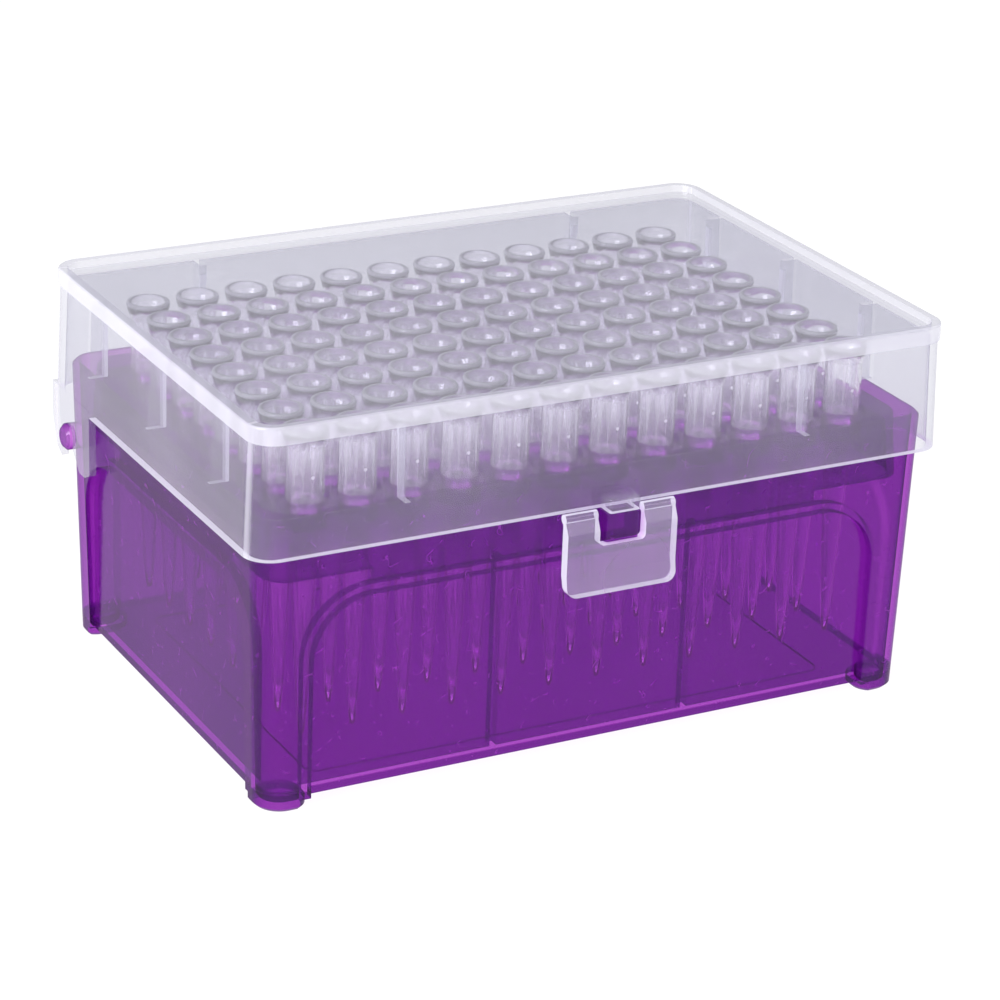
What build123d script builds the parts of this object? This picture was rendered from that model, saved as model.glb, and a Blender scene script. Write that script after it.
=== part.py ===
from build123d import *
import math
import os

# A hinged box of ninety-six pipette tips, in millimetres, closed.
# It stands at height 0. While it is modelled, x = 0 and y = 0 are the middle of the base.
# +X runs along the long side, the latch faces -Y, the hinge is near +Y, +Z is up.

# ---- driving dimensions ----

columns = 12
rows = 8
pitch = 9.0  # the standard spacing of a tip rack

# base: one thin-walled moulding with four hollow corner legs
rim_length = 122.2
rim_width = 81.8
foot_length = 119.8
foot_width = 81.0
rim_height = 50.1
base_corner = 4.6
base_wall = 1.2
floor_lift = 1.7  # how far the floor is above the surface
floor_thickness = 1.3
leg_floor = 1.3
leg_corner = 3.6
foot_bevel = 0.6
rim_bevel = 0.6
pocket_length = 97.0  # the shallow pocket in the floor's underside
pocket_width = 65.2
pocket_depth = 0.4
pocket_corner = 2.0

# recessed panels between the legs, arched at their top corners
panel_top = 35.4
panel_arch = 10.5
front_panel_width = 103.6
side_panel_width = 66.4
panel_recess = 1.8  # behind the outer face, at the panel's top
support_rib_spacing = 36.0
support_rib_thickness = 1.2
support_rib_depth = 1.6

# tray that holds the tips, a lid-shaped moulding that stands on a ledge inside the base
tray_length = 115.2  # of the deck
tray_width = 76.2
tray_drop = 0.2  # deck below the rim
tray_wall = 1.2
tray_deck = 1.9
tray_corner = 4.2
tray_edge_bevel = 0.3
skirt_clearance = 0.95  # from the base's wall, all round
skirt_depth = 11.2
deep_skirt_length = 81.2  # the middle of each skirt, which reaches down to the ledge
deep_skirt_width = 44.0
counterbore_diameter = 8.4
counterbore_depth = 0.7
collar_diameter = 7.4
collar_length = 3.0

# tips
tip_length = 52.5
tip_above_seat = 12.1
tip_mouth_diameter = 7.4
tip_flare_height = 2.8
tip_body_diameter = 6.2
tip_shank_diameter = 5.4
tip_shank_clearance = 0.15
tip_point_diameter = 1.0
tip_point_length = 6.5
tip_point_root = 2.3
tip_mouth_bore = 5.9
tip_socket_depth = 10.0
tip_socket_bore = 4.9
tip_orifice = 0.5
tip_sides = 8  # of every section of a tip and of its hole

# lid
lid_gap = 0.8  # between the base's rim and the inside of the lid
lid_wall = 1.2
lid_overlap = 5.6  # how far the lid comes down over the rim
lid_headroom = 2.55  # over the tips
lid_top_thickness = 1.3
lid_draft = 0.7  # how much narrower the wall is at its top, on each side
lid_draft_front = 0.35
lid_corner = 4.7
band_height = 2.9
band_proud = 0.3
ridge_height = 1.25
ridge_width = 1.6
ridge_round = 0.4
stop_gap = 0.15  # between the lid's ribs and the rim
stop_thickness = 1.1
stop_depth = 3.5
side_stop_spacing = 25.2
side_stop_offset = 3.0
front_stop_spacing = 73.0
rear_stop_lift = 4.0  # keeps the rear ribs off the rim as the lid turns
stop_step = 0.3  # the front and rear ribs get this much shallower at a step
stop_step_drop = 3.0  # below the band
stop_taper = 0.3  # and this much more down to their feet

# hinge
hinge_y = 34.5
hinge_drop = 12.4  # below the rim
pin_diameter = 4.6
pin_clearance = 0.08
pin_proud = 0.9
pin_bevel = 0.6
ear_width = 16.6
ear_front = 9.8  # from the pin's axis forward
ear_depth = 11.6  # below the lid's edge
ear_mouth = 3.9  # narrower than the pin, so that it snaps on
ear_slot_front = 5.2  # the slot's edges at the ear's foot, from the pin's axis
ear_slot_back = 2.8
ear_slot_lift = 0.4  # of its back edge
ear_corner_depth = 2.3
ear_corner_height = 1.1
ear_heel_back = 5.0  # the ear's rear foot, from the pin's axis
ear_heel_lift = 1.6
ear_heel_height = 6.5

# latch, its catch and the hood over it
latch_width = 20.0
latch_length = 13.6
latch_thickness = 1.8
latch_lip_height = 3.5
latch_lip_flare = 0.6
latch_lip_thickness = 1.5
latch_neck = 0.7
latch_neck_height = 2.3
latch_neck_offset = 0.2  # of the neck's middle, in front of the bead's axis
latch_corner = 1.8
window_width = 8.4
window_round = 0.8
barrel_diameter = 1.7
barrel_gap = 0.3
barrel_drop = 0.6
catch_width = 5.7
catch_height = 5.0
catch_gap = 0.2
catch_drop = 0.3  # below the lid's edge
catch_round = 0.4
hood_width = 5.6
hood_height = 2.4
hood_wall = 0.8
hood_overhang = 0.45  # in front of the latch's face
hood_round = 0.5

# how far a cutting shape reaches past what it cuts, and a joined one into what carries it
overrun = 20.0
embed = 0.1

# ---- sizes that follow ----

seat_height = rim_height - tray_drop - counterbore_depth
tip_top = seat_height + tip_above_seat
hinge_z = rim_height - hinge_drop

lid_inner_length = rim_length + 2 * lid_gap
lid_inner_width = rim_width + 2 * lid_gap
lid_length = lid_inner_length + 2 * lid_wall
lid_width = lid_inner_width + 2 * lid_wall
lid_bottom = rim_height - lid_overlap
lid_ceiling = tip_top + lid_headroom
lid_panel = lid_ceiling + lid_top_thickness
lid_top = lid_panel + ridge_height
band_bottom = lid_top - band_height

ledge_height = panel_top + base_wall  # inside the base, over the recessed panels
tray_top = rim_height - tray_drop
skirt_bottom = tray_top - skirt_depth

barrel_radius = barrel_diameter / 2
latch_axis_z = lid_bottom - barrel_drop
latch_axis_y = -lid_width / 2 - math.sqrt((barrel_radius + barrel_gap) ** 2 - barrel_drop**2)
latch_back = latch_axis_y + latch_neck / 2 - latch_neck_offset
latch_front = latch_back - latch_thickness
latch_bottom = lid_bottom - latch_length
catch_top = lid_bottom - catch_drop
catch_radius = latch_axis_z - (catch_top - catch_height)
window_bottom = latch_axis_z - catch_radius - catch_gap


def base_length_at(height):
    return foot_length + (rim_length - foot_length) * height / rim_height


def base_width_at(height):
    return foot_width + (rim_width - foot_width) * height / rim_height


front_panel_y = base_width_at(panel_top) / 2 - panel_recess
side_panel_x = base_length_at(panel_top) / 2 - panel_recess

# ---- shared shapes ----


def stacked(sections, corner, shrink=0):
    """A solid through rounded rectangles, given as height, length, width and inset."""
    outlines = [
        Plane.XY.offset(height)
        * RectangleRounded(length - 2 * inset, width - 2 * inset, corner - inset * shrink)
        for height, length, width, inset in sections
    ]
    return loft(outlines, ruled=True)


def tapered_box(low, low_size, high, high_size, corner):
    """A solid between two rounded rectangles."""
    return stacked([(low, *low_size, 0), (high, *high_size, 0)], corner)


def straight_box(low, high, size, corner):
    return extrude(Plane.XY.offset(low) * RectangleRounded(*size, corner), high - low)


def block(x, y, z):
    """A box between two limits on each axis."""
    middle = ((x[0] + x[1]) / 2, (y[0] + y[1]) / 2, (z[0] + z[1]) / 2)
    return Pos(*middle) * Box(x[1] - x[0], y[1] - y[0], z[1] - z[0])


def slab(low, high, length=2 * rim_length, width=2 * rim_width):
    """A box about the middle, past the part's outline where no size is given."""
    return Pos(0, 0, (low + high) / 2) * Box(length, width, high - low)


def section(points, width):
    """A solid with this outline in Y and Z, across X."""
    outline = make_face(Polyline([(0, y, z) for y, z in points], close=True))
    return extrude(outline, amount=width / 2, dir=(1, 0, 0), both=True)


def upright(width, low, high, corner):
    """A solid along Y with this round-cornered outline in X and Z."""
    front = Plane((0, 0, (low + high) / 2), x_dir=(1, 0, 0), z_dir=(0, -1, 0))
    return extrude(front * RectangleRounded(width, high - low, corner), amount=lid_width, both=True)


def arch(width, top, corner):
    """An outline with round top corners, from well under the floor."""
    low = -2 * corner
    return Pos(0, (top + low) / 2) * RectangleRounded(width, top - low, corner)


def panels(grow):
    """Solids outside the four panels, grown by this much past their outlines and inward."""
    solids = []
    for side in (-1, 1):
        front = Plane((0, side * (front_panel_y - grow), 0), x_dir=(1, 0, 0), z_dir=(0, -1, 0))
        outline = front * arch(front_panel_width + 2 * grow, panel_top + grow, panel_arch + grow)
        solids.append(extrude(outline, amount=-side * overrun))
        end = Plane((side * (side_panel_x - grow), 0, 0), x_dir=(0, 1, 0), z_dir=(1, 0, 0))
        outline = end * arch(side_panel_width + 2 * grow, panel_top + grow, panel_arch + grow)
        solids.append(extrude(outline, amount=side * overrun))
    return solids


def grid():
    for column in range(columns):
        for row in range(rows):
            x = (column - (columns - 1) / 2) * pitch
            y = ((rows - 1) / 2 - row) * pitch
            yield column, x, y


# ---- base ----


def legs(low, inset, bevel):
    """Prisms with the plan of the corner legs, made smaller by inset, from this height up."""
    inner_x = front_panel_width / 2 + inset
    inner_y = side_panel_width / 2 + inset
    size = (rim_length / 2 - inner_x, rim_width / 2 - inner_y)
    prisms = []
    for x in (-1, 1):
        for y in (-1, 1):
            middle = (x * (inner_x + size[0] / 2), y * (inner_y + size[1] / 2))
            sections = [(low, *size, bevel), (low + bevel, *size, 0), (low + overrun, *size, 0)]
            prisms.append(Pos(*middle) * stacked(sections, leg_corner - inset / 2, shrink=1))
    return prisms


def base_shell():
    outer = stacked(
        [
            (0, base_length_at(0), base_width_at(0), foot_bevel),
            (foot_bevel, base_length_at(foot_bevel), base_width_at(foot_bevel), 0),
            (rim_height - rim_bevel, rim_length, rim_width, 0),
            (rim_height, rim_length, rim_width, rim_bevel),
        ],
        base_corner,
        shrink=1,
    )
    outer -= panels(0)
    under = slab(-overrun, floor_lift)
    for leg in legs(0, 0, foot_bevel):
        under -= leg
    outer -= under

    inner_rim = (rim_length - 2 * base_wall, rim_width - 2 * base_wall)
    inner_foot = (foot_length - 2 * base_wall, foot_width - 2 * base_wall)
    cavity = tapered_box(0, inner_foot, rim_height, inner_rim, base_corner - base_wall)
    cavity -= panels(base_wall)
    under = slab(-overrun, floor_lift + floor_thickness)
    for leg in legs(leg_floor, base_wall, foot_bevel / 2):
        under -= leg
    pocket = straight_box(
        floor_lift - overrun, floor_lift + pocket_depth, (pocket_length, pocket_width), pocket_corner
    )
    return outer - (cavity - under) - pocket


def support_ribs():
    """Upright ribs inside the long walls, which carry the tray."""
    outer = front_panel_y - base_wall / 2
    inner = front_panel_y - base_wall - support_rib_depth
    half = support_rib_thickness / 2
    height = (floor_lift + floor_thickness / 2, ledge_height)
    ribs = []
    for side in (-1, 1):
        for x in (-support_rib_spacing / 2, support_rib_spacing / 2):
            y = sorted((side * inner, side * outer))
            ribs.append(block((x - half, x + half), y, height))
    return ribs


def hinge_pins():
    pins = []
    end = lid_length / 2 + pin_proud
    root = base_length_at(hinge_z) / 2 - base_wall / 2
    for side in (-1, 1):
        plane = Plane((side * root, hinge_y, hinge_z), z_dir=(side, 0, 0))
        pin = extrude(plane * Circle(pin_diameter / 2), end - root)
        tip = pin.edges().sort_by(Axis.X)[-1 if side > 0 else 0]
        pins.append(chamfer(tip, pin_bevel))
    return pins


def catch():
    """A hook on the front wall, with its underside round about the latch's axis."""
    root = -base_width_at(catch_top) / 2 + base_wall / 2
    low = latch_axis_z - catch_radius
    drop = math.sqrt(catch_radius**2 - (latch_front - latch_axis_y) ** 2)
    corner = (0, latch_front, latch_axis_z - drop)
    middle = math.asin((latch_axis_y - latch_front) / catch_radius) / 2
    between = (
        0,
        latch_axis_y - catch_radius * math.sin(middle),
        latch_axis_z - catch_radius * math.cos(middle),
    )
    under = ThreePointArc((0, latch_axis_y, low), between, corner)
    rest = Polyline(
        corner,
        (0, latch_front, catch_top),
        (0, root, catch_top),
        (0, root, low),
        (0, latch_axis_y, low),
    )
    hook = extrude(make_face([under, rest]), amount=catch_width / 2, dir=(1, 0, 0), both=True)
    corners = hook.edges().filter_by(Axis.Z).sort_by(Axis.Y)[:2]
    return fillet(corners, catch_round)


def make_base():
    base = base_shell()
    for piece in support_ribs() + hinge_pins() + [catch()]:
        base += piece
    return base


# ---- tray ----


def make_tray():
    foot = [base_length_at(ledge_height), base_width_at(ledge_height)]
    foot = [size - 2 * base_wall - 2 * skirt_clearance for size in foot]
    deck = (tray_length, tray_width)
    outside = [(ledge_height, *foot, 0), (tray_top - tray_edge_bevel, *deck, 0)]
    outside.append((tray_top, *deck, tray_edge_bevel))
    inside = [(ledge_height, *foot, tray_wall), (tray_top - tray_deck, *deck, tray_wall)]
    tray = stacked(outside, tray_corner, shrink=1) - stacked(inside, tray_corner, shrink=1)

    short_skirt = slab(ledge_height, skirt_bottom)
    short_skirt -= slab(ledge_height, skirt_bottom, length=deep_skirt_length)
    short_skirt -= slab(ledge_height, skirt_bottom, width=deep_skirt_width)
    tray -= short_skirt
    collar_foot = tray_top - tray_deck - collar_length
    tray += at_each_tip(collar_diameter, collar_foot, tray_top - tray_deck / 2)
    tray -= at_each_tip(tip_shank_diameter + 2 * tip_shank_clearance, collar_foot, tray_top)
    return tray - at_each_tip(counterbore_diameter, seat_height, tray_top)


def at_each_tip(width, low, high):
    """Prisms about the tips' axes, with as many sides as the tips."""
    outlines = Sketch() + [Pos(x, y) * RegularPolygon(width / 2, tip_sides) for _, x, y in grid()]
    return extrude(Plane.XY.offset(low) * outlines, high - low)


# ---- tips ----


def tapered(sections):
    """A solid through polygons with the tips' number of sides, given as heights and widths."""
    outlines = [
        Plane.XY.offset(height) * RegularPolygon(width / 2, tip_sides) for height, width in sections
    ]
    corners = [[corner.center() for corner in outline.vertices()] for outline in outlines]
    stages = [ConvexPolyhedron(above + below) for above, below in zip(corners, corners[1:])]
    return stages[0] + stages[1:]


def tip_solid():
    """One tip about its own axis, with its mouth at height 0."""
    end = -tip_length
    collar = tapered(
        [
            (0, tip_mouth_diameter),
            (-tip_flare_height, tip_body_diameter),
            (-tip_above_seat, tip_body_diameter),
        ]
    )
    shank = tapered(
        [
            (-tip_above_seat, tip_shank_diameter),
            (end + tip_point_length, tip_point_root),
            (end, tip_point_diameter),
        ]
    )
    bore = tapered([(0, tip_mouth_bore), (-tip_socket_depth, tip_socket_bore), (end, tip_orifice)])
    return collar + shank - bore


def tip_columns():
    one = tip_solid()
    nodes = {}
    for column, x, y in grid():
        nodes.setdefault(f"tip_column_{column + 1:02d}", []).append(Pos(x, y, tip_top) * one)
    return {name: Compound(children=tips) for name, tips in nodes.items()}


# ---- lid ----


def lid_shell():
    at_top = (lid_length - 2 * lid_draft, lid_width - 2 * lid_draft_front)
    walls = tapered_box(lid_bottom, (lid_length, lid_width), lid_panel, at_top, lid_corner)
    band = (at_top[0] + 2 * band_proud, at_top[1] + 2 * band_proud)
    rim = straight_box(band_bottom, lid_top, band, lid_corner)
    top_edges = rim.edges().group_by(Axis.Z)[-1]
    rim = fillet(top_edges, ridge_round)
    well = (band[0] - 2 * ridge_width, band[1] - 2 * ridge_width)
    shell = walls + rim - straight_box(lid_panel, lid_top + overrun, well, lid_corner - ridge_width)
    low = (lid_inner_length, lid_inner_width)
    high = (at_top[0] - 2 * lid_wall, at_top[1] - 2 * lid_wall)
    corner = lid_corner - lid_wall
    return shell - tapered_box(lid_bottom, low, lid_ceiling, high, corner)


def side_stop(side, y):
    """A rib on an end wall."""
    wall = lid_inner_length / 2 + lid_wall / 2 - lid_draft
    x = sorted((side * (lid_inner_length / 2 - stop_depth), side * wall))
    y = (y - stop_thickness / 2, y + stop_thickness / 2)
    return block(x, y, (rim_height + stop_gap, lid_ceiling + embed))


def long_stop(side, x):
    """A rib on the front or rear wall, stepped and tapered towards its foot."""
    wall = lid_inner_width / 2 + lid_wall / 2 - lid_draft_front
    inner = lid_inner_width / 2 - stop_depth
    low = rim_height + stop_gap
    if side > 0:
        low += rear_stop_lift
    step = band_bottom - stop_step_drop
    outline = [
        (side * wall, low),
        (side * (inner + stop_step + stop_taper), low),
        (side * (inner + stop_step), step),
        (side * inner, step),
        (side * inner, lid_ceiling + embed),
        (side * wall, lid_ceiling + embed),
    ]
    return Pos(x, 0, 0) * section(outline, stop_thickness)


def lid_stops():
    """Ribs inside the lid, whose lower ends come down on the base's rim."""
    stops = []
    for side in (-1, 1):
        for step in (-1, 0, 1):
            stops.append(side_stop(side, side_stop_offset + step * side_stop_spacing))
        for x in (-front_stop_spacing / 2, front_stop_spacing / 2):
            stops.append(long_stop(side, x))
    return stops


def hinge_ears():
    """Plates below the side walls, each snapped over a pin through a slot from below."""
    front = hinge_y - ear_front
    back = front + ear_width
    low = lid_bottom - ear_depth
    top = lid_bottom + lid_wall
    mouth = ear_mouth / 2
    bore = pin_diameter / 2 + pin_clearance
    mouth_z = hinge_z - math.sqrt(bore**2 - mouth**2)
    outline = [
        (front, top),
        (front, low + ear_corner_height),
        (front + ear_corner_depth, low),
        (hinge_y - ear_slot_front, low),
        (hinge_y - mouth, mouth_z),
        (hinge_y + mouth, mouth_z),
        (hinge_y + ear_slot_back, low + ear_slot_lift),
        (hinge_y + ear_heel_back, low + ear_heel_lift),
        (back, low + ear_heel_height),
        (back, top),
    ]
    plates = section(outline, lid_length)
    plates -= Pos(0, hinge_y, hinge_z) * Rot(0, 90, 0) * Cylinder(bore, 2 * lid_length)
    return plates - slab(-overrun, top + overrun, length=lid_inner_length)


def hood():
    """A small cap on the front wall, open below, over the catch."""
    wall = -lid_width / 2
    front = latch_front - hood_overhang
    half = hood_width / 2
    top = lid_bottom + hood_height
    cap = block((-half, half), (front, wall + lid_wall / 2), (lid_bottom, top))
    corners = cap.edges().filter_by(Axis.Z).sort_by(Axis.Y)[:2]
    brow = cap.edges().group_by(Axis.Z)[-1].sort_by(Axis.Y)[:-1]
    cap = fillet(corners + brow, hood_round)
    half -= hood_wall
    return cap - block((-half, half), (front + hood_wall, wall + lid_wall), (-overrun, top - hood_wall))


def make_lid():
    lid = lid_shell()
    for piece in lid_stops() + [hinge_ears(), hood()]:
        lid += piece
    return lid


# ---- latch ----


def make_latch():
    neck_front = latch_back - latch_neck
    shoulder = latch_axis_z - latch_neck_height
    lip_top = latch_bottom + latch_lip_height
    lip_front = latch_front - latch_lip_flare
    profile = [
        (latch_back, latch_axis_z),
        (latch_back, lip_top),
        (lip_front + latch_lip_thickness, latch_bottom),
        (lip_front, latch_bottom),
        (latch_front, lip_top),
        (latch_front, shoulder),
        (neck_front, latch_axis_z),
    ]
    past_top = latch_axis_z + latch_length
    latch = section(profile, latch_width) & upright(latch_width, latch_bottom, past_top, latch_corner)
    bead = Plane((0, latch_axis_y, latch_axis_z), z_dir=(1, 0, 0)) * Circle(barrel_radius)
    latch += extrude(bead, latch_width / 2, both=True)
    return latch - upright(window_width, window_bottom, past_top, window_round)


# ---- nodes ----

nodes = {
    "base": make_base(),
    "tray": make_tray(),
    "lid": make_lid(),
    "latch": make_latch(),
    **tip_columns(),
}

# the origin moves to the middle of the closed box's whole outline, latch included
front = min(latch_front - latch_lip_flare, latch_front - hood_overhang)
to_middle = Pos(0, -(front + lid_width / 2) / 2, 0)

os.makedirs("parts", exist_ok=True)
for name, shape in nodes.items():
    export_step(to_middle * shape, f"parts/{name}.step")
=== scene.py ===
import math

import bmesh
import bpy
from mathutils import Matrix, Vector


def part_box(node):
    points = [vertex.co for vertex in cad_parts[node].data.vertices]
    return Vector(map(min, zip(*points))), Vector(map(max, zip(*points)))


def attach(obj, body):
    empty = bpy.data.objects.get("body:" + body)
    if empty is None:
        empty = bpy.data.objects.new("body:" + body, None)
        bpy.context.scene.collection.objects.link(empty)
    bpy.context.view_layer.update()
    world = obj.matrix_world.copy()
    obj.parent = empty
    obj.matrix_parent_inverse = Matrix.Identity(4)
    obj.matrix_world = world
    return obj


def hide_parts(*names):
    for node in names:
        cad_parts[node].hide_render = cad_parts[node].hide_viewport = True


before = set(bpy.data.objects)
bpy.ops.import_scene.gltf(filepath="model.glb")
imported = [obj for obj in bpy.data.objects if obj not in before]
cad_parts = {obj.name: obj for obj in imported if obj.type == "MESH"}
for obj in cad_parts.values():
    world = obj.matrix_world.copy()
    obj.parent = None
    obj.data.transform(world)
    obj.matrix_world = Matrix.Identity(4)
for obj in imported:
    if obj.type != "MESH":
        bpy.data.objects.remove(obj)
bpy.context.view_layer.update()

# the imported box: a purple base and tray, a clear lid and latch, and twelve columns of tips
columnNames = sorted(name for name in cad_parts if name.startswith("tip_column"))
firstLow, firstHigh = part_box(columnNames[0])
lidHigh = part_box("lid")[1]
tipRows = 8
mouthRadius = (firstHigh[0] - firstLow[0]) / 2
pitch = (firstHigh[1] - firstLow[1] - 2 * mouthRadius) / (tipRows - 1)
middleY = (firstLow[1] + firstHigh[1]) / 2
tipTop = firstHigh[2]
print("frame read:", len(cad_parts), "nodes")


# small helpers for node trees

def newTree(name):
    material = bpy.data.materials.new(name)
    material.use_nodes = True
    material.node_tree.nodes.clear()
    return material, material.node_tree


def addNode(tree, kind, settings=None, **links):
    # a link named in0, in1 and so on goes by the socket's number, any other by its name
    node = tree.nodes.new(kind)
    for key, value in (settings or {}).items():
        if key in node.inputs:
            node.inputs[key].default_value = value
        else:
            setattr(node, key, value)
    for key, source in links.items():
        name = key.replace("_", " ")
        tree.links.new(source, node.inputs[int(name[2:])] if name[:2] == "in" else node.inputs[name])
    return node


def join(tree, socket, value):
    if isinstance(value, (int, float, tuple)):
        socket.default_value = value
    else:
        tree.links.new(value, socket)


def addMath(tree, operation, first, second=0.0, clamp=False):
    node = addNode(tree, "ShaderNodeMath", {"operation": operation, "use_clamp": clamp})
    join(tree, node.inputs[0], first)
    join(tree, node.inputs[1], second)
    return node.outputs[0]


def addVector(tree, operation, first, second=(0, 0, 0)):
    node = addNode(tree, "ShaderNodeVectorMath", {"operation": operation})
    join(tree, node.inputs[0], first)
    join(tree, node.inputs[1], second)
    return node.outputs["Value" if operation == "LENGTH" else "Vector"]


def fade(tree, value, start, end, reach=1.0):
    # from 0 at start to reach at end
    limits = {"From Min": start, "From Max": end, "To Max": reach}
    return addNode(tree, "ShaderNodeMapRange", limits, Value=value).outputs["Result"]


def multiply(tree, *masks):
    product = masks[0]
    for mask in masks[1:]:
        product = addMath(tree, "MULTIPLY", product, mask)
    return product


def near(tree, value, target, width, reach):
    # 0 beyond the width from the target, and reach from a tenth of a millimetre nearer
    gap = addMath(tree, "ABSOLUTE", addMath(tree, "SUBTRACT", value, target))
    return fade(tree, gap, width, width - 0.0001, reach)


def split(tree, vector):
    return addNode(tree, "ShaderNodeSeparateXYZ", Vector=vector).outputs


# plastics: what is seen straight through one face is tinted by filter, and lamplight by shade

moulding = {
    "refraction": 1.49,
    "leastFacing": 0.22,  # a face seen more on edge than this gets no deeper in colour
    "rimPower": 3.0,
    "grainScale": 900.0,
    "grainStrength": 0.35,
    "cloudScale": 45.0,
    "cloudRange": (0.3, 0.7),
    "gloss": (0.9, 0.9, 0.9, 1),
}

purplePlastic = {
    "filter": (0.76, 0.455, 0.825, 1),
    "shade": (0.90, 0.66, 0.94, 1),
    "skin": (0.40, 0.05, 0.56, 1),
    "gloss": (0.62, 0.50, 0.68, 1),
    "haze": 0.08,
    "hazeEdge": 0.10,
    "roughness": 0.14,
    "ripple": 0.00006,
    "mottle": 0.5,
    "foot": 0.0029,  # below this height the upright walls are painted darker: painted shade where they stand close to the surface
    "paintedShadeStrength": 2.6,
}

clearPlastic = {
    "filter": (0.94, 0.94, 0.955, 1),
    "shade": (0.985, 0.985, 0.99, 1),
    "skin": (0.85, 0.84, 0.92, 1),
    "haze": 0.15,
    "hazeEdge": 0.12,
    "roughness": 0.10,
    "ripple": 0.00004,
    "mottle": 0.3,
}

latchPlastic = dict(clearPlastic, haze=0.24)

tipPlastic = {
    "filter": (0.98, 0.975, 0.985, 1),
    "shade": (0.99, 0.99, 0.995, 1),
    "skin": (0.92, 0.91, 0.97, 1),
    "haze": 0.06,
    "hazeEdge": 0.12,
    "bends": 4.0,  # how many times it bends or mirrors the light before that goes straight on
    "roughness": 0.05,
    "ripple": 0.00002,
    "mottle": 0.3,
}


def makePlastic(name, look, glow=None, edges=None):
    # light goes straight through the wall, its haze scatters some, and its skin shines;
    # glow is extra haze on the near side (painted highlights on the lid and tips, dust on the base), and
    # edges are narrow faces with a painted highlight seen from both sides
    material, tree = newTree(name)
    coordinates = addNode(tree, "ShaderNodeTexCoord")
    place = coordinates.outputs["Object"]
    normal = addVector(tree, "ABSOLUTE", coordinates.outputs["Normal"])
    facing = addNode(tree, "ShaderNodeLayerWeight", {"Blend": 0.5}).outputs["Facing"]
    path = addNode(tree, "ShaderNodeLightPath")
    level = addMath(tree, "MAXIMUM", addMath(tree, "SUBTRACT", 1.0, facing), moulding["leastFacing"])
    slant = addMath(tree, "DIVIDE", 1.0, level)
    # painted shade: upright walls below the foot height are tinted deeper
    if look.get("foot"):
        low = fade(tree, split(tree, place)["Z"], look["foot"] + 0.0003, look["foot"], look["paintedShadeStrength"])
        low = multiply(tree, low, fade(tree, split(tree, normal)["Z"], 0.8, 0.6))
        slant = addMath(tree, "MULTIPLY", slant, addMath(tree, "ADD", low, 1.0))
    tint = addNode(tree, "ShaderNodeGamma", {"Color": look["filter"]}, Gamma=slant)
    clear = addNode(tree, "ShaderNodeBsdfTransparent", Color=tint.outputs[0])
    if look.get("bends"):
        glassLook = {"Color": look["filter"], "IOR": moulding["refraction"], "Roughness": 0.0}
        glass = addNode(tree, "ShaderNodeBsdfGlass", glassLook)
        bent = addMath(tree, "GREATER_THAN", path.outputs["Ray Depth"], look["bends"])
        clear = addNode(tree, "ShaderNodeMixShader", Fac=bent, in1=glass.outputs[0],
                        in2=clear.outputs[0])

    grain = addNode(tree, "ShaderNodeTexNoise", {"Scale": moulding["grainScale"], "Detail": 0.0},
                    Vector=place)
    bump = addNode(tree, "ShaderNodeBump",
                   {"Strength": moulding["grainStrength"], "Distance": look["ripple"]},
                   Height=grain.outputs["Fac"])
    skin = addNode(tree, "ShaderNodeBsdfDiffuse", {"Color": look["skin"]},
                   Normal=bump.outputs["Normal"])
    through = addNode(tree, "ShaderNodeBsdfTranslucent", {"Color": look["skin"]})
    soft = addNode(tree, "ShaderNodeMixShader", {"Fac": 0.5}, in1=skin.outputs[0],
                   in2=through.outputs[0])

    rim = addMath(tree, "POWER", facing, moulding["rimPower"])
    cloud = addNode(tree, "ShaderNodeTexNoise", {"Scale": moulding["cloudScale"], "Detail": 0.0},
                    Vector=place)
    mottle = fade(tree, cloud.outputs["Fac"], *moulding["cloudRange"], look["mottle"])
    mottle = addMath(tree, "ADD", mottle, 1 - look["mottle"] / 2)
    haze = addMath(tree, "ADD", addMath(tree, "MULTIPLY", rim, look["hazeEdge"]), look["haze"])
    haze = addMath(tree, "MULTIPLY", haze, mottle)
    if glow:
        haze = addMath(tree, "ADD", haze, glow(tree, place, normal), clamp=True)

    # the far side of a wall needs only the filter and the painted highlight on its narrow faces
    far = clear
    if edges:
        edgeHighlight = edges(tree, place, normal)
        haze = addMath(tree, "ADD", haze, edgeHighlight, clamp=True)
        far = addNode(tree, "ShaderNodeMixShader", Fac=edgeHighlight, in1=clear.outputs[0], in2=soft.outputs[0])
    inner = addNode(tree, "ShaderNodeMixShader", Fac=haze, in1=clear.outputs[0], in2=soft.outputs[0])
    shine = {"Roughness": look["roughness"], "Color": look.get("gloss", moulding["gloss"])}
    gloss = addNode(tree, "ShaderNodeBsdfGlossy", shine, Normal=bump.outputs["Normal"])
    fresnel = addNode(tree, "ShaderNodeFresnel", {"IOR": moulding["refraction"]})
    outer = addNode(tree, "ShaderNodeMixShader", Fac=fresnel.outputs[0], in1=inner.outputs[0],
                    in2=gloss.outputs[0])

    # lamplight gets through more evenly than what is seen
    backside = addNode(tree, "ShaderNodeNewGeometry").outputs["Backfacing"]
    wall = addNode(tree, "ShaderNodeMixShader", Fac=backside, in1=outer.outputs[0],
                   in2=far.outputs[0])
    shade = addNode(tree, "ShaderNodeBsdfTransparent", {"Color": look["shade"]})
    surface = addNode(tree, "ShaderNodeMixShader", Fac=path.outputs["Is Shadow Ray"],
                      in1=wall.outputs[0], in2=shade.outputs[0])
    addNode(tree, "ShaderNodeOutputMaterial", Surface=surface.outputs[0])
    return material


# the lid, whose ridge, corners and narrow edges get painted highlights

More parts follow.
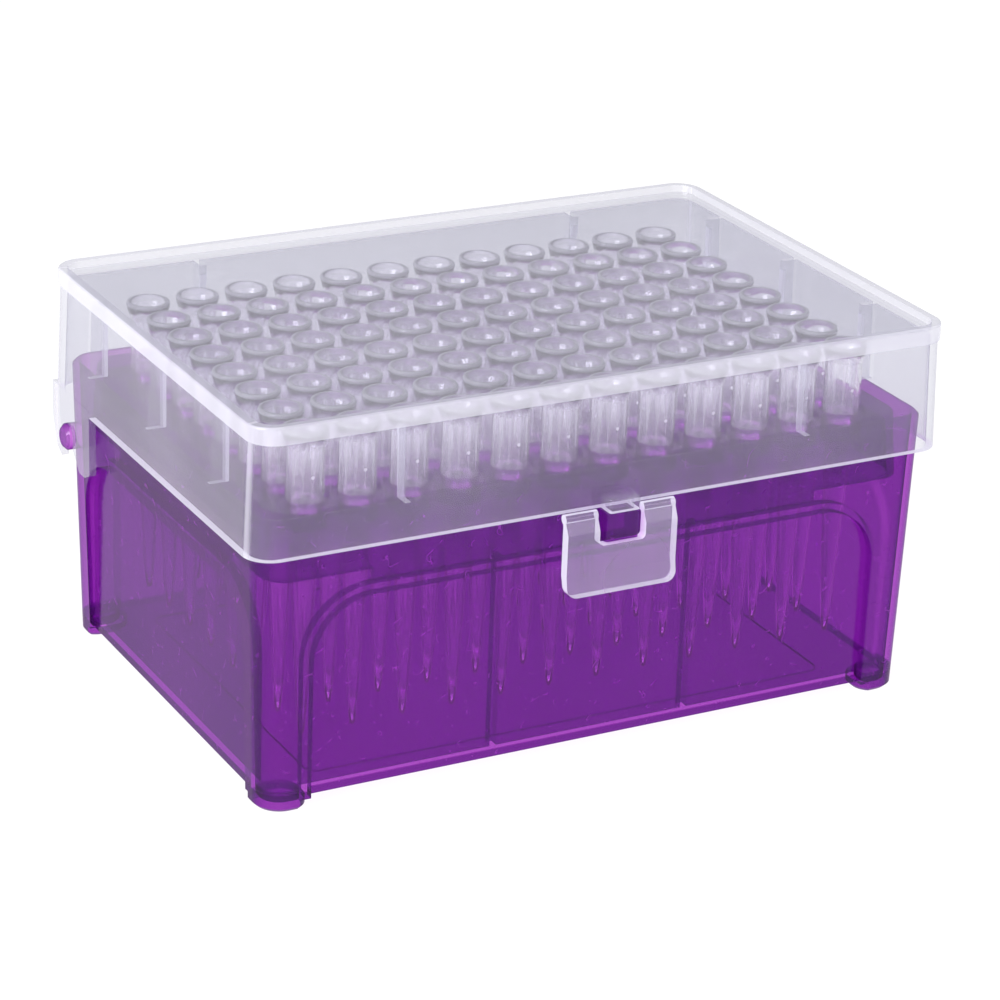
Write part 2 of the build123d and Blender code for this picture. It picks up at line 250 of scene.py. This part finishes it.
lidShape = {
    "halfX": lidHigh[0],
    "halfY": lidHigh[1] - middleY,
    "corner": 0.0047,
    "ridgeFoot": 0.06345,
    "ridgeOuter": (-0.0008, -0.0005),  # from the outline, where the ridge's outer painted highlight begins and is full
    "ridgeInner": (-0.0023, -0.0020),
    "lowerEdge": 0.0445,
    "stopFoot": 0.05025,
    "stopStart": 0.0040,  # how far inside the outline the ribs' inner faces lie
    "stopEnd": 0.0050,
    "ridgePaintedHighlight": 0.42,
    "ridgeInnerPaintedHighlight": 0.16,
    "cornerPaintedHighlight": 0.35,
    "cornerHighlightStart": (0.88, 0.96),  # of the way round the corner to the short end
    "cornerHighlightEnd": (0.9999, 0.985),
    "edgePaintedHighlight": 0.80,
    "stopPaintedHighlight": 0.35,
    "stopTop": 0.0625,  # the ribs' inner faces get a painted highlight below this height
}


def outline(tree, place):
    # how far a point is outside the lid's outline, and its way round the nearest corner
    centred = addVector(tree, "SUBTRACT", place, (0, middleY, 0))
    folded = addVector(tree, "ABSOLUTE", centred)
    straight = (lidShape["halfX"] - lidShape["corner"], lidShape["halfY"] - lidShape["corner"], 1.0)
    past = addVector(tree, "MAXIMUM", addVector(tree, "SUBTRACT", folded, straight))
    reach = addVector(tree, "LENGTH", past)
    return addMath(tree, "SUBTRACT", reach, lidShape["corner"]), past, reach


def lidPaintedHighlights(tree, place, normal):
    # painted highlights: bands along the ridge's outer and inner edges, and a line along each corner
    distance, past, reach = outline(tree, place)
    height = split(tree, place)["Z"]
    onRidge = fade(tree, height, lidShape["ridgeFoot"], lidShape["ridgeFoot"] + 0.0001)
    outerRidgeHighlight = multiply(tree, onRidge, fade(tree, distance, *lidShape["ridgeOuter"], lidShape["ridgePaintedHighlight"]))
    innerRidgeHighlight = multiply(tree, onRidge,
                      fade(tree, distance, *lidShape["ridgeInner"], lidShape["ridgeInnerPaintedHighlight"]))
    ridgeHighlight = addMath(tree, "MAXIMUM", outerRidgeHighlight, innerRidgeHighlight)
    share = addMath(tree, "DIVIDE", split(tree, past)["X"], addMath(tree, "MAXIMUM", reach, 0.0001))
    corner = multiply(tree, fade(tree, share, *lidShape["cornerHighlightStart"]),
                      fade(tree, share, *lidShape["cornerHighlightEnd"], lidShape["cornerPaintedHighlight"]))
    return addMath(tree, "MAXIMUM", ridgeHighlight, corner)


def lidEdgeHighlights(tree, place, normal):
    # painted highlights on the lower edge, the ribs' feet and the ribs' inner faces
    distance = outline(tree, place)[0]
    height = split(tree, place)["Z"]
    level = fade(tree, split(tree, normal)["Z"], 0.6, 0.8)
    lower = near(tree, height, lidShape["lowerEdge"], 0.0003, lidShape["edgePaintedHighlight"])
    foot = near(tree, height, lidShape["stopFoot"], 0.0002, lidShape["stopPaintedHighlight"])
    flat = multiply(tree, level, addMath(tree, "MAXIMUM", lower, foot))
    front = multiply(
        tree,
        fade(tree, distance, -lidShape["stopEnd"], -lidShape["stopEnd"] + 0.0001),
        fade(tree, distance, -lidShape["stopStart"], -lidShape["stopStart"] - 0.0001),
        fade(tree, height, lidShape["stopTop"], lidShape["stopTop"] - 0.0005, lidShape["stopPaintedHighlight"]),
    )
    return addMath(tree, "MAXIMUM", flat, front)


def latchEdgeHighlights(tree, place, normal):
    # painted highlight on the sides, the bottom and the window's edges, which face sideways, up or down
    return fade(tree, split(tree, normal)["Y"], 0.5, 0.4, 0.65)


def tipPaintedHighlights(tree, place, normal):
    # painted highlights on the rim, the flare's foot and the ribs are stored on the tips; a gate mark that
    # faces the front gets a painted highlight
    storedHighlight = addNode(tree, "ShaderNodeAttribute", {"attribute_name": "shine"}).outputs["Fac"]
    start = (firstLow[0] + mouthRadius - pitch / 2, firstLow[1] + mouthRadius - pitch / 2, 0.0)
    local = addVector(tree, "DIVIDE", addVector(tree, "SUBTRACT", place, start), (pitch, pitch, 1.0))
    local = split(tree, addVector(tree, "FRACTION", local))
    aside = addMath(tree, "MULTIPLY", addMath(tree, "SUBTRACT", local["X"], 0.5), pitch)
    above = addMath(tree, "SUBTRACT", split(tree, place)["Z"], tipTop - tipShape["gateDepth"])
    spot = addNode(tree, "ShaderNodeCombineXYZ", X=aside, Y=above).outputs[0]
    gate = fade(tree, addVector(tree, "LENGTH", spot), *tipShape["gateSize"], tipShape["gatePaintedHighlight"])
    return addMath(tree, "ADD", storedHighlight, multiply(tree, gate, fade(tree, local["Y"], 0.42, 0.38)))


# dust and fibres that cling to the outside of the base

dustLook = {
    "scale": 420.0,
    "size": 0.06,
    "share": 0.80,
    "fibreScale": 170.0,
    "fibreWidth": 0.016,
    "fibreShare": (0.63, 0.66),
    "wanderScale": 700.0,
    "wander": (0.004, 0.003, 0.0),
    "glow": 0.5,
}


def dustGlow(tree, place, normal):
    axes = split(tree, place)
    across = addMath(tree, "ADD", axes["X"], axes["Y"])
    sheet = addNode(tree, "ShaderNodeCombineXYZ", X=across, Y=axes["Z"]).outputs[0]
    speckLook = {"voronoi_dimensions": "2D", "Scale": dustLook["scale"]}
    specks = addNode(tree, "ShaderNodeTexVoronoi", speckLook, Vector=sheet)
    chance = split(tree, specks.outputs["Color"])["X"]
    chosen = fade(tree, chance, dustLook["share"], dustLook["share"] + 0.1)
    small = fade(tree, specks.outputs["Distance"], dustLook["size"], dustLook["size"] / 2)
    speck = multiply(tree, small, chosen)
    wanderLook = {"Scale": dustLook["wanderScale"], "Detail": 0.0}
    wander = addNode(tree, "ShaderNodeTexNoise", wanderLook, Vector=place)
    bend = addVector(tree, "MULTIPLY", wander.outputs["Fac"], dustLook["wander"])
    threadLook = {
        "voronoi_dimensions": "2D",
        "feature": "DISTANCE_TO_EDGE",
        "Scale": dustLook["fibreScale"],
    }
    threads = addNode(tree, "ShaderNodeTexVoronoi", threadLook, Vector=addVector(tree, "ADD", sheet, bend))
    fibre = fade(tree, threads.outputs["Distance"], dustLook["fibreWidth"], dustLook["fibreWidth"] / 2)
    shorten = fade(tree, wander.outputs["Fac"], *dustLook["fibreShare"])
    mark = addMath(tree, "MAXIMUM", speck, multiply(tree, fibre, shorten))
    outward = addMath(tree, "MAXIMUM", split(tree, normal)["X"], split(tree, normal)["Y"])
    return multiply(tree, mark, fade(tree, outward, 0.85, 0.95, dustLook["glow"]))


def giveMaterial(name, material):
    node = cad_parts[name]
    for slot in node.material_slots:
        slot.material = material
    if not node.material_slots:
        node.data.materials.append(material)


# tips

tipShape = {
    "steps": 24,
    "outline": [  # radius, depth and painted highlight, from the mouth down the outside and up the bore
        (0.00300, 0.0000, 0.30),
        (0.00355, 0.0000, 0.45),
        (0.00370, 0.0003, 0.45),
        (0.00366, 0.0008, 0.10),
        (0.00325, 0.0026, 0.05),
        (0.00310, 0.0030, 0.16),
        (0.00310, 0.0118, 0.05),
        (0.00300, 0.0121, 0.05),
        (0.00262, 0.0122, 0.0),
        (0.00185, 0.0300, 0.0),
        (0.00125, 0.0415, 0.0),
        (0.00115, 0.0460, 0.0),
        (0.00090, 0.0490, 0.0),
        (0.00050, 0.0525, 0.0),
        (0.00025, 0.0525, 0.0),
        (0.00060, 0.0460, 0.0),
        (0.00135, 0.0300, 0.0),
        (0.00235, 0.0100, 0.0),
        (0.00262, 0.0030, 0.0),
    ],
    "ribFrom": 0.0029,
    "ribTo": 0.0119,
    "ribDepth": 0.00022,
    "ribPaintedHighlight": 0.14,
    "gateDepth": 0.0075,
    "gateSize": (0.00035, 0.0002),  # radius where the gate mark's painted highlight ends and where it is full
    "gatePaintedHighlight": 0.6,
}


def makeTip():
    # one tip about the origin, its mouth at height 0, and the painted highlight on each of its points
    bm = bmesh.new()
    profile = [bm.verts.new((radius, 0, -depth)) for radius, depth, shine in tipShape["outline"]]
    edges = [bm.edges.new((profile[i], profile[(i + 1) % len(profile)])) for i in range(len(profile))]
    bmesh.ops.spin(bm, geom=profile + edges, cent=(0, 0, 0), axis=(0, 0, 1), angle=2 * math.pi,
                   steps=tipShape["steps"], use_merge=True)
    stepAngle = 2 * math.pi / tipShape["steps"]
    paintedHighlights = []
    for vert in bm.verts:
        radius = math.hypot(vert.co.x, vert.co.y)
        nearest = min(tipShape["outline"],
                      key=lambda spot: math.hypot(radius - spot[0], vert.co.z + spot[1]))
        shine = nearest[2]
        ribbed = tipShape["ribFrom"] < -vert.co.z < tipShape["ribTo"] and radius > 0.003
        if ribbed and round(math.atan2(vert.co.y, vert.co.x) / stepAngle) % 2:
            vert.co.xy *= (radius - tipShape["ribDepth"]) / radius
        elif ribbed:
            shine += tipShape["ribPaintedHighlight"]
        paintedHighlights.append(shine)
    bmesh.ops.recalc_face_normals(bm, faces=bm.faces)
    for face in bm.faces:
        face.smooth = True
    mesh = bpy.data.meshes.new("tip")
    bm.to_mesh(mesh)
    bm.free()
    return mesh, paintedHighlights


def makeTipColumns(material):
    tipMesh, paintedHighlights = makeTip()
    for name in columnNames:
        low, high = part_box(name)
        bm = bmesh.new()
        for row in range(tipRows):
            known = len(bm.verts)
            bm.from_mesh(tipMesh)
            bm.verts.ensure_lookup_table()
            place = Vector(((low[0] + high[0]) / 2, low[1] + mouthRadius + row * pitch, high[2]))
            bmesh.ops.translate(bm, verts=bm.verts[known:], vec=place)
        mesh = bpy.data.meshes.new(name + "_tips")
        bm.to_mesh(mesh)
        bm.free()
        mesh.attributes.new("shine", "FLOAT", "POINT").data.foreach_set("value", paintedHighlights * tipRows)
        column = bpy.data.objects.new(name + "_tips", mesh)
        bpy.context.scene.collection.objects.link(column)
        mesh.materials.append(material)
        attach(column, "base")
        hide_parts(name)


purple = makePlastic("purplePlastic", purplePlastic, glow=dustGlow)
for nodeName in ("base", "tray"):
    giveMaterial(nodeName, purple)
giveMaterial("lid", makePlastic("lidPlastic", clearPlastic, glow=lidPaintedHighlights, edges=lidEdgeHighlights))
giveMaterial("latch", makePlastic("latchPlastic", latchPlastic, edges=latchEdgeHighlights))
print("plastics made")
makeTipColumns(makePlastic("tipPlastic", tipPlastic, glow=tipPaintedHighlights))
print("tips made")


# stage, light and camera

stageLook = {"size": 3.0, "floor": (0.86, 0.86, 0.87, 1), "thin": (0.09, 0.09, 0.09, 1), "glow": 0.93}


def makeStage():
    # a pale floor that keeps the box's shadow, and looks white to the camera
    bm = bmesh.new()
    bmesh.ops.create_grid(bm, x_segments=1, y_segments=1, size=stageLook["size"])
    mesh = bpy.data.meshes.new("floor")
    bm.to_mesh(mesh)
    bm.free()
    floor = bpy.data.objects.new("floor", mesh)
    bpy.context.scene.collection.objects.link(floor)
    material, tree = newTree("floorWhite")
    path = addNode(tree, "ShaderNodeLightPath")
    seen = addMath(tree, "MAXIMUM", path.outputs["Is Camera Ray"], path.outputs["Is Glossy Ray"])
    seen = addMath(tree, "MAXIMUM", seen, path.outputs["Is Transmission Ray"])
    plain = addNode(tree, "ShaderNodeBsdfDiffuse", {"Color": stageLook["floor"]})
    thin = addNode(tree, "ShaderNodeBsdfDiffuse", {"Color": stageLook["thin"]})
    glow = addNode(tree, "ShaderNodeEmission", {"Strength": stageLook["glow"]})
    bright = addNode(tree, "ShaderNodeAddShader", in0=thin.outputs[0], in1=glow.outputs[0])
    mixed = addNode(tree, "ShaderNodeMixShader", Fac=seen, in1=plain.outputs[0], in2=bright.outputs[0])
    addNode(tree, "ShaderNodeOutputMaterial", Surface=mixed.outputs[0])
    mesh.materials.append(material)


worldLook = {"light": (0.93, 0.94, 0.97, 1), "strength": 0.62}


def makeWorld():
    world = bpy.data.worlds.new("studio")
    bpy.context.scene.world = world
    world.use_nodes = True
    tree = world.node_tree
    tree.nodes.clear()
    path = addNode(tree, "ShaderNodeLightPath")
    seen = addMath(tree, "MAXIMUM", path.outputs["Is Camera Ray"], path.outputs["Is Transmission Ray"])
    room = addNode(tree, "ShaderNodeBackground",
                   {"Color": worldLook["light"], "Strength": worldLook["strength"]})
    white = addNode(tree, "ShaderNodeBackground", {"Color": (1, 1, 1, 1), "Strength": 1.0})
    mixed = addNode(tree, "ShaderNodeMixShader", Fac=seen, in1=room.outputs[0], in2=white.outputs[0])
    addNode(tree, "ShaderNodeOutputWorld", Surface=mixed.outputs[0])


lamps = {  # place, size in metres and power in watts
    "keyLamp": ((-1.10, -0.35, 0.70), 0.80, 25.0),
    "frontLamp": ((0.35, -1.00, 0.60), 0.60, 2.5),
    "topLamp": ((0.0, 0.15, 1.30), 0.90, 6.5),
}


def makeLamps():
    for name, (place, size, power) in lamps.items():
        data = bpy.data.lights.new(name, "AREA")
        data.size = size
        data.energy = power
        lamp = bpy.data.objects.new(name, data)
        lamp.location = place
        aim = Vector((0, 0, 0.03)) - Vector(place)
        lamp.rotation_euler = aim.to_track_quat("-Z", "Y").to_euler()
        bpy.context.scene.collection.objects.link(lamp)


cameraView = {  # degrees and metres; the target is the middle of the tips' mouths
    "azimuth": -28.604,
    "elevation": 22.443,
    "roll": 2.143,
    "distance": 0.585637,
    "aside": -0.000874,
    "above": 0.029904,
    "lens": 125.81,
}


def makeCamera():
    azimuth = math.radians(cameraView["azimuth"])
    elevation = math.radians(cameraView["elevation"])
    roll = math.radians(cameraView["roll"])
    back = Vector((
        math.sin(azimuth) * math.cos(elevation),
        -math.cos(azimuth) * math.cos(elevation),
        math.sin(elevation),
    ))
    level = Vector((math.cos(azimuth), math.sin(azimuth), 0))
    upright = back.cross(level)
    right = math.cos(roll) * level + math.sin(roll) * upright
    up = -math.sin(roll) * level + math.cos(roll) * upright
    target = Vector((0, middleY, tipTop))
    place = target + cameraView["distance"] * back - cameraView["aside"] * right - cameraView["above"] * up
    data = bpy.data.cameras.new("camera")
    data.lens = cameraView["lens"]
    data.sensor_width = 36
    data.clip_start = 0.02
    camera = bpy.data.objects.new("camera", data)
    turn = Matrix((right, up, back)).transposed().to_4x4()
    camera.matrix_world = Matrix.Translation(place) @ turn
    bpy.context.scene.collection.objects.link(camera)
    bpy.context.scene.camera = camera


makeStage()
makeWorld()
makeLamps()
makeCamera()
scene = bpy.context.scene
scene.view_settings.view_transform = "Standard"
scene.cycles.max_bounces = 6
scene.cycles.diffuse_bounces = 2
scene.cycles.glossy_bounces = 2
scene.cycles.transparent_max_bounces = 48
print("stage, lamps and camera set")
